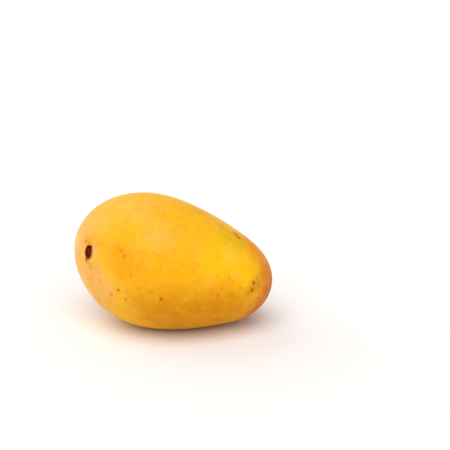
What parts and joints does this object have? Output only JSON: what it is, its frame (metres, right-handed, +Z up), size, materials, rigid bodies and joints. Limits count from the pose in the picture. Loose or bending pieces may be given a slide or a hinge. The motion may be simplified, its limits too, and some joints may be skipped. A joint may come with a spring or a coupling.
{
  "type": "mango",
  "caption": "Whole ripe yellow mango with the dried stub of its stalk, lying on one flat cheek with its stem end raised.",
  "frame": {"origin": "on the surface that the fruit rests on, under the middle of its bounding box", "axes": "+Z up, +X from the raised stem end to the lower tip, -Y towards the ventral edge"},
  "size_m": [0.1092, 0.0834, 0.0719],
  "materials": {
    "mango_skin": "satin, waxy ripe skin, golden yellow with an orange blush and pale pores",
    "dried_stalk": "matte, dry, dark maroon brown"
  },
  "bodies": {
    "root": {"fruit": "mango_skin", "stalk_stub": "dried_stalk"}
  },
  "joints": []
}
